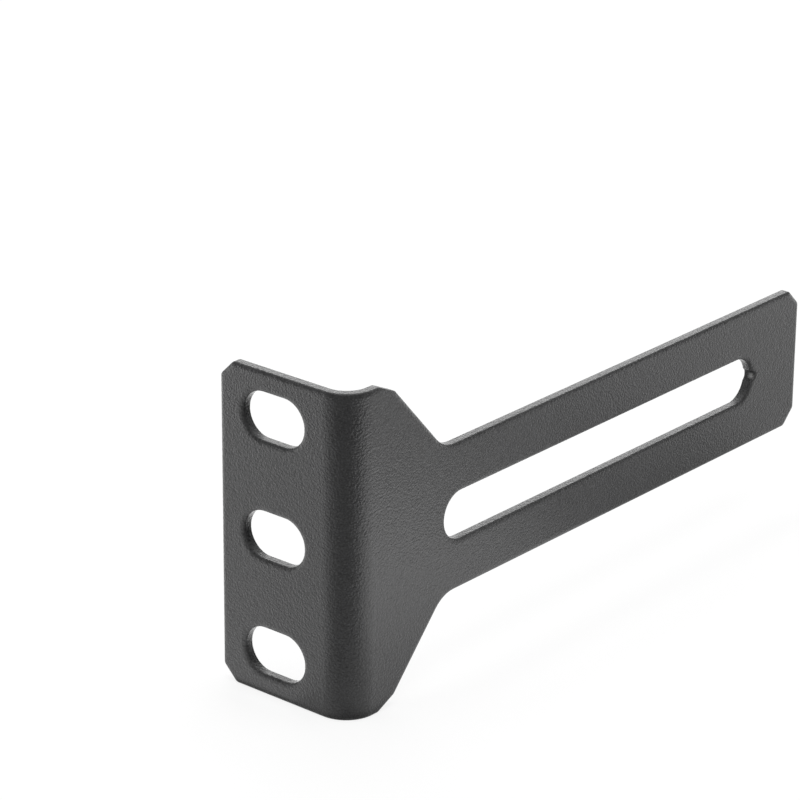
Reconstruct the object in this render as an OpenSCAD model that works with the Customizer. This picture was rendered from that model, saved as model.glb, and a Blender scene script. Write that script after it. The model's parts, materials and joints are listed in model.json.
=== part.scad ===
// Rack mount ear bracket: one folded sheet, with a slotted ear that bolts to the rack's
// rail and a slotted arm that runs back along the side of the chassis.
//
// Origin: centre of the middle rack slot, on the rear face of the ear, which seats on the
// rail. +X points to the chassis, +Y to the rear of the rack and +Z up.
// Depths are measured from the front face of the ear, and insets from the chassis side.

/* [Sheet] */
// Thickness of the sheet
sheet_t = 1.5; // [1:0.1:2]
// Inside radius of the fold
bend_r = 3; // [1:0.1:4]
// Radius that eases each outer corner of the blank
corner_r = 0.8; // [0.2:0.1:1.2]

/* [Ear] */
// Height of the ear, one rack unit less its working gap
ear_h = 43.66; // [42.5:0.01:44.4]
// Width from the chassis side to the ear's outer edge
ear_w = 21.3; // [20.3:0.1:30]
// Leg of the cut across each outer corner of the ear
ear_cut = 2.1; // [1.5:0.1:3]

/* [Rack slots] */
// Distance from one rack slot to the next
rack_pitch = 15.875; // [15:0.005:16]
// Inset of the slot centres from the chassis side
slot_inset = 12.55; // [11:0.01:13]
// Length of a rack slot, end to end
slot_l = 9.9; // [7:0.1:11.5]
// Width of a rack slot
slot_w = 6.4; // [5:0.1:7.2]

/* [Side flange] */
// Depth at which the full height ends
flange_d = 5.6; // [5:0.1:10]
// Run of the shallow facet that starts the taper
facet_run = 3; // [2:0.1:6]
// Drop of that facet
facet_drop = 1.4; // [0.5:0.05:2.5]
// Slope of the taper down to the arm
taper_angle = 48; // [35:1:60]
// Radius that blends the taper into the arm
taper_r = 4.6; // [2:0.1:8]

/* [Arm] */
// Overall depth, from the front of the ear to the end of the arm
arm_d = 94; // [88:0.1:130]
// Height of the arm
arm_h = 20; // [15:0.1:25]
// Leg of the cut across each corner at the arm's end
arm_cut = 2.2; // [1.5:0.1:3]

/* [Arm slot] */
// Depth at which the arm slot starts
arm_slot_d = 18.1; // [14:0.1:24]
// Length of the arm slot, end to end
arm_slot_l = 65.2; // [40:0.1:70]
// Width of the arm slot
arm_slot_w = 6.5; // [4.5:0.1:8]

/* [Hidden] */
$fn = 96;
rack_slots_n = 3;
past = 1;                               // how far a cut runs past what it cuts
hair = 0.0001;                          // makes an arc cross its edges, not graze them
half_h = ear_h / 2;
half_arm = arm_h / 2;
bend_out = bend_r + sheet_t;
ear_x = slot_inset - ear_w;             // outer edge of the ear
facet_end = [flange_d + facet_run, half_h - facet_drop];
taper_end = [facet_end[0] + (facet_end[1] - half_arm) / tan(taper_angle), half_arm];

function unit(v) = v / norm(v);
function flip(p) = [p[0], -p[1]];
// A half outline, joined to its mirror image below the axis
function both_halves(half) = concat(half, [for (i = [len(half) - 1:-1:0]) flip(half[i])]);
// Values in the same order as the points that both_halves() returns
function there_and_back(list) = concat(list, [for (i = [len(list) - 1:-1:0]) list[i]]);

// The area between a corner at p, on edges towards a and b, and the arc of radius r that
// eases it. It runs past the corner, so that no edges coincide.
module corner_web(a, p, b, r) {
    to_a = unit(a - p);
    to_b = unit(b - p);
    middle = unit(to_a + to_b);
    half_angle = acos(to_a * to_b) / 2;
    reach = r / tan(half_angle);
    centre = middle * r / sin(half_angle);
    translate(p)
        difference() {
            polygon([-middle * past, to_a * reach, centre, to_b * reach]);
            translate(centre) circle(r + hair);
        }
}

// A closed outline whose corners are eased one by one: a positive radius rounds an outer
// corner off, a negative one fills an inner corner, and 0 leaves it sharp
module eased_outline(points, radii) {
    n = len(points);
    difference() {
        union() {
            polygon(points);
            for (i = [0:n - 1])
                if (radii[i] < 0)
                    corner_web(points[(i + n - 1) % n], points[i], points[(i + 1) % n], -radii[i]);
        }
        for (i = [0:n - 1])
            if (radii[i] > 0)
                corner_web(points[(i + n - 1) % n], points[i], points[(i + 1) % n], radii[i]);
    }
}

// A slot with round ends, along X and centred
module round_slot(l, w) {
    straight = l - w;
    square([straight, w], center = true);
    for (side = [-1, 1])
        translate([side * straight / 2, 0]) circle(d = w);
}

// Section of the folded sheet from above, with its ends left long
module fold_section() {
    bend_at = [slot_inset - bend_out, bend_out - sheet_t];
    translate([ear_x - past, -sheet_t])
        square([bend_at[0] - ear_x + past, sheet_t]);
    translate(bend_at)
        intersection() {
            difference() {
                circle(bend_out);
                circle(bend_r);
            }
            translate([0, -bend_out]) square(bend_out);
        }
    translate([slot_inset - sheet_t, bend_at[1]])
        square([sheet_t, arm_d - bend_out + past]);
}

// Outline of the ear from the front: its outer corners are cut
module ear_outline() {
    half = [[slot_inset + past, half_h], [ear_x + ear_cut, half_h], [ear_x, half_h - ear_cut]];
    eased_outline(both_halves(half), there_and_back([0, corner_r, corner_r]));
}

// Outline of the side flange and its arm, over depth and height
module side_outline() {
    half = [
        [-past, half_h],
        [flange_d, half_h],
        facet_end,
        taper_end,
        [arm_d - arm_cut, half_arm],
        [arm_d, half_arm - arm_cut]
    ];
    eased_outline(
        both_halves(half),
        there_and_back([0, corner_r, corner_r, -taper_r, corner_r, corner_r])
    );
}

// The sheet, folded and trimmed to both outlines
module folded_blank() {
    intersection() {
        translate([0, 0, -half_h - past])
            linear_extrude(ear_h + 2 * past) fold_section();
        translate([0, arm_d + past, 0]) rotate([90, 0, 0])
            linear_extrude(arm_d + sheet_t + 2 * past) ear_outline();
        translate([ear_x - past, -sheet_t, 0]) rotate([90, 0, 90])
            linear_extrude(ear_w + 2 * past) side_outline();
    }
}

// Slots across the ear, one for each hole of the rack unit
module rack_slots() {
    for (i = [0:rack_slots_n - 1])
        translate([0, past, (i - (rack_slots_n - 1) / 2) * rack_pitch]) rotate([90, 0, 0])
            linear_extrude(sheet_t + 2 * past) round_slot(slot_l, slot_w);
}

// The long slot that lets the bracket slide along the chassis
module arm_slot() {
    translate([slot_inset - sheet_t - past, arm_slot_d + arm_slot_l / 2 - sheet_t, 0])
        rotate([90, 0, 90])
            linear_extrude(sheet_t + 2 * past) round_slot(arm_slot_l, arm_slot_w);
}

module ear_bracket() {
    color("dimgray")
        difference() {
            folded_blank();
            rack_slots();
            arm_slot();
        }
}

ear_bracket();
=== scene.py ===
import bpy
import json
import math
from mathutils import Matrix, Vector

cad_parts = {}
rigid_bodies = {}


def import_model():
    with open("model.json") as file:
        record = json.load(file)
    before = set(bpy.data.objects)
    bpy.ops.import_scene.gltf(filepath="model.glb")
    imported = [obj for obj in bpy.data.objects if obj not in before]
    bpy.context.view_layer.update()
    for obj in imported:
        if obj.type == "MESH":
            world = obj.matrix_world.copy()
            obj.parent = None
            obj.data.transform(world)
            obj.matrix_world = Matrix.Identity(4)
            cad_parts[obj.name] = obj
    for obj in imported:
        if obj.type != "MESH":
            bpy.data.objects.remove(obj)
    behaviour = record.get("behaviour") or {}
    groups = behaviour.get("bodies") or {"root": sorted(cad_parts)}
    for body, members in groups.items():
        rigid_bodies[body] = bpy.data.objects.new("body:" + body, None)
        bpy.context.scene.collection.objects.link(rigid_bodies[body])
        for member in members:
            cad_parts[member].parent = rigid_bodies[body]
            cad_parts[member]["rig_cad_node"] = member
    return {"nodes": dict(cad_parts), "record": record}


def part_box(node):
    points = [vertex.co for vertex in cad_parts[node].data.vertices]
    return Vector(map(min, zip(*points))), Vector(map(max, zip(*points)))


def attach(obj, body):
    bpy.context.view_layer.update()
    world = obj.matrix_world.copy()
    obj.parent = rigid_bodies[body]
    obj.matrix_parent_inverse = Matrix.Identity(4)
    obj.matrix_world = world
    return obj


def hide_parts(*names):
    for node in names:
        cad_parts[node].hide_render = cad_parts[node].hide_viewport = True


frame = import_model()
bpy.context.view_layer.update()
cadLow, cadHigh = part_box("ear_bracket")
middle = (cadLow + cadHigh) / 2
sheet = -cadLow.y  # its thickness: the ear's rear face stands at y 0
mm = 0.001


def deselectAll():
    bpy.ops.object.select_all(action="DESELECT")


# angles are in degrees, distance is to the middle of the bracket, and right and up say how far
# beside it the lens points
cameraView = {
    "azimuth": 40.44,
    "elevation": 22.15,
    "roll": 0.39,
    "distance": 493.1 * mm,
    "right": -16.43 * mm,
    "up": 4.27 * mm,
    "lens": 168.41,
    "sensor": 36,
    "nearest": 10 * mm,
    "farthest": 20,
}


def placeCamera(view):
    turn = Matrix.Rotation(math.radians(view["azimuth"]), 3, "Z")
    tilt = Matrix.Rotation(math.radians(90 - view["elevation"]), 3, "X")
    roll = Matrix.Rotation(math.radians(view["roll"]), 3, "Z")
    level = turn @ tilt
    aim = middle + level @ Vector((view["right"], view["up"], 0))
    spot = aim + level @ Vector((0, 0, view["distance"]))
    bpy.ops.object.camera_add(location=spot, rotation=(level @ roll).to_euler())
    camera = bpy.context.object
    camera.name = "camera"
    camera.data.lens = view["lens"]
    camera.data.sensor_width = view["sensor"]
    camera.data.clip_start = view["nearest"]
    camera.data.clip_end = view["farthest"]
    bpy.context.scene.camera = camera


placeCamera(cameraView)
print("camera placed")


class Wire:
    # a node's output, on which sums are written as plain sums
    def __init__(self, tree, socket=None):
        self.tree = tree
        self.socket = socket

    def node(self, kind, settings=None, inputs=None, output=0):
        made = self.tree.nodes.new("ShaderNode" + kind)
        for name, value in (settings or {}).items():
            setattr(made, name, value)
        for name, value in (inputs or {}).items():
            if isinstance(value, Wire):
                self.tree.links.new(value.socket, made.inputs[name])
            else:
                made.inputs[name].default_value = value
        return Wire(self.tree, made.outputs[output] if len(made.outputs) else None)

    def noise(self, place, grain, detail):
        return self.node("TexNoise", {}, {"Vector": place, "Scale": 1 / grain, "Detail": detail})

    def mixed(self, share, first, second):
        # the node's sockets 6 and 7 are its colours, and share is the second one's
        inputs = {0: share, 6: first, 7: second}
        return self.node("Mix", {"data_type": "RGBA"}, inputs, output=2)

    def seen(self):
        # 1 for what is seen, also in a mirror or through glass, and 0 for the light that it gives
        camera = self.node("LightPath", output="Is Camera Ray")
        glossy = self.node("LightPath", output="Is Glossy Ray")
        through = self.node("LightPath", output="Is Transmission Ray")
        return (camera + glossy + through).clipped()

    def clipped(self):
        return self.node("Clamp", {}, {"Value": self})

    def maths(self, operation, first, second):
        return self.node("Math", {"operation": operation}, {0: first, 1: second})

    def __add__(self, other):
        return self.maths("ADD", self, other)

    def __radd__(self, other):
        return self.maths("ADD", other, self)

    def __sub__(self, other):
        return self.maths("SUBTRACT", self, other)

    def __rsub__(self, other):
        return self.maths("SUBTRACT", other, self)

    def __mul__(self, other):
        return self.maths("MULTIPLY", self, other)

    def __rmul__(self, other):
        return self.maths("MULTIPLY", other, self)


def newMaterial(name):
    material = bpy.data.materials.new(name)
    material.use_nodes = True
    material.node_tree.nodes.clear()
    return material, Wire(material.node_tree)


# the plain sheet has square cut edges: the punched ones roll over on its outer skin, and the
# ones on its inner skin are only softened by the coat
bracketShape = {
    "doublesWithin": 0.001 * mm,  # merges the loose faces of the plain sheet
    "flatWithin": 0.5,  # the angle within which faces are one flat face
    "bendInside": 3 * mm,
    "skinWithin": 0.05 * mm,  # how near a skin a point has to lie to be on it
    "outerRoll": {"width": 0.76 * mm, "depth": 0.4 * mm, "steps": 8},
    "innerRoll": {"width": 0.22 * mm, "depth": 0.2 * mm, "steps": 4},
    "cornerReach": 0.7 * mm,  # a ring this far in has drawn each corner's points together
    "cornerWithin": 0.08 * mm,  # so they are merged
    "smoothAngle": 38,
}

# the pit where the cut of the arm's slot began, halfway up the slot's far end
cutMark = {
    "drawnFiner": 1.6 * mm,  # how near that end the wall gets more points
    "cuts": 2,
    "radius": 0.8 * mm,
    "innerDepth": 0.3 * mm,
    "outerDepth": 0.85 * mm,
    "reach": 1 * mm,  # points within this of the slot's end are moved
    "fade": 2 * mm,  # the move gets weaker over this distance beyond the end
    # the last four paint a lighter spot of colour on the pit's ledge: a painted highlight
    "paintedHighlightAt": (-0.55 * mm, 0.57 * mm, -0.25 * mm),  # the painted highlight's middle, from the slot's end
    "paintedHighlightRadius": 0.55 * mm,
    "paintedHighlightRagged": 1.2,
    "paintedHighlightColour": (0.36, 0.36, 0.36, 1),
}


def slotEnd():
    # on the outer skin
    mount = next(item for item in frame["record"]["mounts"] if item["name"] == "arm_slot")
    return Vector(mount["pos_m"]) + Vector((0, mount["dims"]["slot_length_mm"] * mm / 2, 0))


def intoSheet(point, bendInside):
    # how deep a point lies below the outer skin, and the way into the sheet there
    bendOutside = bendInside + sheet
    axis = Vector((cadHigh.x - bendOutside, cadLow.y + bendOutside, point.z))
    if point.x < axis.x:
        return point.y - cadLow.y, Vector((0, 1, 0))
    if point.y > axis.y:
        return cadHigh.x - point.x, Vector((-1, 0, 0))
    return bendOutside - (axis - point).length, (axis - point).normalized()


def selectWhere(mesh, isThere):
    for vertex in mesh.vertices:
        vertex.select = isThere(vertex.co)
    for edge in mesh.edges:
        edge.select = all(mesh.vertices[i].select for i in edge.vertices)
    for face in mesh.polygons:
        face.select = all(mesh.vertices[i].select for i in face.vertices)


def rollSkin(piece, shape, roll, skinAt, side):
    # draws rings in from a skin's border, then sinks them along a quarter of an ellipse
    # each ring keeps its step as a weight, from 1 on the border to 0 on the last ring
    # skinAt is the skin's depth below the outer one, and side turns the way that it sinks
    mesh = piece.data
    bend = shape["bendInside"]
    selectWhere(mesh, lambda at: abs(intoSheet(at, bend)[0] - skinAt) < shape["skinWithin"])
    rings = piece.vertex_groups.new(name="rings")
    bpy.ops.object.mode_set(mode="EDIT")
    bpy.ops.mesh.select_mode(type="FACE")
    drawnTo = 0
    for step in range(roll["steps"] + 1):
        turn = math.radians(90) * step / roll["steps"]
        reach = roll["width"] * (1 - math.cos(turn))
        if step:
            bpy.ops.mesh.inset(thickness=reach - drawnTo, use_even_offset=True)
        if reach > shape["cornerReach"]:
            bpy.ops.mesh.remove_doubles(threshold=shape["cornerWithin"])
        drawnTo = reach
        bpy.context.scene.tool_settings.vertex_group_weight = 1 - step / roll["steps"]
        bpy.ops.object.vertex_group_assign()
    bpy.ops.object.mode_set(mode="OBJECT")
    for vertex in mesh.vertices:
        weight = next((item.weight for item in vertex.groups if item.group == rings.index), 0)
        turn = math.radians(90) * (1 - weight)
        inward = intoSheet(vertex.co, bend)[1]
        vertex.co += side * roll["depth"] * (1 - math.sin(turn)) * inward
    piece.vertex_groups.remove(rings)


def drawEndFiner(piece, mark):
    # so that the wall at the slot's end has enough points for the pit
    end = slotEnd()
    selectWhere(piece.data, lambda at: (at - end).yz.length < mark["drawnFiner"])
    bpy.ops.object.mode_set(mode="EDIT")
    bpy.ops.mesh.select_mode(type="FACE")
    bpy.ops.mesh.subdivide(number_cuts=mark["cuts"])
    bpy.ops.object.mode_set(mode="OBJECT")


def pressMark(piece, mark):
    # a round notch, moved along the slot
    end = slotEnd()
    for vertex in piece.data.vertices:
        across = (vertex.co.z - end.z) / mark["radius"]
        beyond = vertex.co.y - end.y
        if abs(across) < 1 and abs(beyond) < mark["reach"]:
            inward = (end.x - vertex.co.x) / sheet
            depth = mark["outerDepth"] + (mark["innerDepth"] - mark["outerDepth"]) * inward
            fading = 1 - max(beyond / mark["fade"], 0)
            vertex.co.y += depth * math.sqrt(1 - across ** 2) * fading


def makeBracket(shape, mark):
    deselectAll()
    node = frame["nodes"]["ear_bracket"]
    node.select_set(True)
    bpy.context.view_layer.objects.active = node
    bpy.ops.object.duplicate()
    piece = bpy.context.object
    piece.name = "bracket"
    piece.data.name = "bracket"
    del piece["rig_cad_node"]
    bpy.ops.object.parent_clear(type="CLEAR_KEEP_TRANSFORM")
    bpy.ops.object.mode_set(mode="EDIT")
    bpy.ops.mesh.select_all(action="SELECT")
    bpy.ops.mesh.remove_doubles(threshold=shape["doublesWithin"])
    bpy.ops.mesh.dissolve_limited(angle_limit=math.radians(shape["flatWithin"]))
    bpy.ops.object.mode_set(mode="OBJECT")
    drawEndFiner(piece, mark)
    rollSkin(piece, shape, shape["outerRoll"], 0, 1)
    rollSkin(piece, shape, shape["innerRoll"], sheet, -1)
    pressMark(piece, mark)
    bpy.ops.object.shade_smooth_by_angle(angle=math.radians(shape["smoothAngle"]))
    weights = piece.modifiers.new("flats stay flat", "WEIGHTED_NORMAL")
    weights.keep_sharp = True
    bpy.ops.object.modifier_apply(modifier=weights.name)
    return piece


bracket = makeBracket(bracketShape, cutMark)
print("bracket modelled:", len(bracket.data.polygons), "faces")


# black polyester powder, baked to a fine pebbled skin
# dark and light are the colour in the hollows and on the pebbles, which is painted shade of the
# pebbling along with tone that differs at random, and the last three say how much each pattern
# adds: a pebble's is lowest in its middle, so it counts with a minus
coatFinish = {
    "grain": {"speck": 0.21 * mm, "pebble": 0.29 * mm, "flow": 1.8 * mm, "patch": 11 * mm},
    "detail": 2,
    "pebbleSoftness": 0.6,
    "dark": (0.006, 0.006, 0.0062, 1),
    "light": (0.041, 0.041, 0.042, 1),
    "roughness": 0.39,
    "specular": 0.24,
    "inColour": {"speck": 1.9, "pebble": -0.5, "patch": 0.6},
    "inRoughness": {"speck": 0.5, "patch": 0.1},
    "inHeight": {"speck": 0.045 * mm, "pebble": -0.06 * mm, "flow": 0.02 * mm},
}
evenTone = 0.5  # the middle of what each pattern gives


def coatPatterns(tree, place, finish):
    grain = finish["grain"]
    cells = {"Vector": place, "Scale": 1 / grain["pebble"], "Smoothness": finish["pebbleSoftness"]}
    return {
        "speck": tree.noise(place, grain["speck"], finish["detail"]),
        "pebble": tree.node("TexVoronoi", {"feature": "SMOOTH_F1"}, cells),
        "flow": tree.noise(place, grain["flow"], finish["detail"]),
        "patch": tree.noise(place, grain["patch"], finish["detail"]),
    }


def patterned(level, patterns, shares):
    # level, raised and lowered by each pattern's share
    for name, share in shares.items():
        level = level + share * (patterns[name] - evenTone)
    return level


def makeCoat(finish, mark):
    material, tree = newMaterial("powderCoat")
    place = tree.node("TexCoord", output="Object")
    patterns = coatPatterns(tree, place, finish)
    # painted shade: the colour is darker where the pebbled skin lies lower, and the patches add a
    # random spread of tone
    shade = patterned(evenTone, patterns, finish["inColour"]).clipped()
    coat = tree.mixed(shade, finish["dark"], finish["light"])
    # a painted highlight: a lighter spot with a ragged edge, mixed into the coat's colour in the
    # pit
    paintedHighlightAt = slotEnd() + Vector(mark["paintedHighlightAt"])
    away = tree.node("VectorMath", {"operation": "DISTANCE"}, {0: place, 1: paintedHighlightAt}, output="Value")
    ragged = mark["paintedHighlightRagged"] * (patterns["speck"] - evenTone)
    paintedHighlight = (1 - away * (1 / mark["paintedHighlightRadius"]) + ragged).clipped()
    height = patterned(0, patterns, finish["inHeight"])
    # the heights are real ones, which the bump takes as they are
    bump = tree.node("Bump", {}, {"Height": height, "Distance": 1.0, "Strength": 1.0})
    skin = {
        "Base Color": tree.mixed(paintedHighlight, coat, mark["paintedHighlightColour"]),
        "Roughness": patterned(finish["roughness"], patterns, finish["inRoughness"]),
        "Specular IOR Level": finish["specular"],
        "Normal": bump,
    }
    shader = tree.node("BsdfPrincipled", {}, skin)
    tree.node("OutputMaterial", {}, {"Surface": shader})
    return material


bracket.data.materials.clear()
bracket.data.materials.append(makeCoat(coatFinish, cutMark))
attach(bracket, "root")
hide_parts("ear_bracket")
print("coat made")


# the floor is white paper that also glows: near the bracket by floorGlow, which leaves a faint
# shadow there, and past the second distance of glowFull altogether
# floorBounce is its colour in the light that it throws back, and ambient the light all round
studio = {
    "floorSize": 4.0,
    "floorColour": (0.98, 0.98, 0.98, 1),
    "floorBounce": (0.2, 0.2, 0.2, 1),
    "floorGlow": 0.85,
    "glowFull": (0.25, 0.75),
    "ambient": 0.12,
    "white": (1, 1, 1, 1),
}


def makeFloor(look):
    material, tree = newMaterial("paleFloor")
    seen = tree.seen()
    tone = tree.mixed(seen, look["floorBounce"], look["floorColour"])
    paper = tree.node("BsdfDiffuse", {}, {"Color": tone})
    glow = tree.node("Emission", {}, {"Color": look["white"], "Strength": 1.0})
    near, far = look["glowFull"]
    place = tree.node("TexCoord", output="Object")
    away = tree.node("VectorMath", {"operation": "LENGTH"}, {0: place}, output="Value")
    fade = ((away - near) * (1 / (far - near))).clipped()
    share = look["floorGlow"] + (1 - look["floorGlow"]) * fade
    surface = tree.node("MixShader", {}, {0: share * seen, 1: paper, 2: glow})
    tree.node("OutputMaterial", {}, {"Surface": surface})
    deselectAll()
    bpy.ops.mesh.primitive_plane_add(size=look["floorSize"], location=(0, 0, cadLow.z))
    floor = bpy.context.object
    floor.name = "floor"
    floor.data.materials.append(material)


def makeBackdrop(look):
    world = bpy.data.worlds.new("studio")
    bpy.context.scene.world = world
    world.use_nodes = True
    world.node_tree.nodes.clear()
    tree = Wire(world.node_tree)
    level = look["ambient"] + (1 - look["ambient"]) * tree.seen()
    backdrop = tree.node("Background", {}, {"Color": look["white"], "Strength": level})
    tree.node("OutputWorld", {}, {"Surface": backdrop})


makeFloor(studio)
makeBackdrop(studio)
print("floor and backdrop made")


# soft panels above and behind: place is a panel's middle above the floor under the rack slots,
# aim the point that it faces and level how bright it is beside white
panels = {
    "overhead": {"place": (0, 0.05, 1), "aim": (0, 0.05, 0), "size": (1, 1), "level": 3.7},
    "behind": {"place": (-0.6, 0.75, 0.42), "aim": (0, 0, 0.02), "size": (0.8, 0.7), "level": 3.1},
}
# a lit table that is brighter away from the bracket: its near parts are weak, and the corner
# towards the camera stays dark
# x and y are the edges of each part in metres, and height is how far they lie above the floor
table = {
    "height": 0.4 * mm,
    "parts": {
        "frontNear": {"x": (-0.10, 0.003), "y": (-0.12, -0.0018), "level": 1.68},
        "frontFar": {"x": (-0.40, -0.10), "y": (-0.30, -0.01), "level": 4.4},
        "frontFoot": {"x": (0.003, 0.012), "y": (-0.018, -0.0018), "level": 0.8},
        "sideFoot": {"x": (0.0132, 0.03), "y": (-0.012, 0.06), "level": 0.9},
        "sideNear": {"x": (0.03, 0.12), "y": (-0.002, 0.052), "level": 3.4},
        "sideFar": {"x": (0.12, 0.42), "y": (0.02, 0.25), "level": 1.7},
        "backNear": {"x": (0.0132, 0.12), "y": (0.10, 0.25), "level": 0.9},
        "backFar": {"x": (0, 0.42), "y": (0.25, 0.50), "level": 4.4},
        "rearNear": {"x": (-0.12, 0), "y": (0.003, 0.25), "level": 2.0},
    },
}


def makeLamp(name, place, aim, size, level):
    foot = Vector((0, 0, cadLow.z))
    facing = Vector(aim) - Vector(place)
    turn = facing.to_track_quat("-Z", "Y").to_euler()
    bpy.ops.object.light_add(type="AREA", location=foot + Vector(place), rotation=turn)
    made = bpy.context.object
    made.name = name
    made.data.shape = "RECTANGLE"
    made.data.size = size[0]
    made.data.size_y = size[1]
    made.data.energy = level * math.pi * size[0] * size[1]
    made.visible_camera = False


def makePanels(lamps):
    for name, lamp in lamps.items():
        makeLamp(name, lamp["place"], lamp["aim"], lamp["size"], lamp["level"])


def makeTable(lit):
    # its parts shine straight up
    for name, part in lit["parts"].items():
        left, right = part["x"]
        front, back = part["y"]
        across = (left + right) / 2
        along = (front + back) / 2
        place = (across, along, lit["height"])
        size = (right - left, back - front)
        makeLamp(name, place, (across, along, 1), size, part["level"])


makePanels(panels)
makeTable(table)
print("lights placed")

bpy.context.scene.view_settings.view_transform = "Standard"
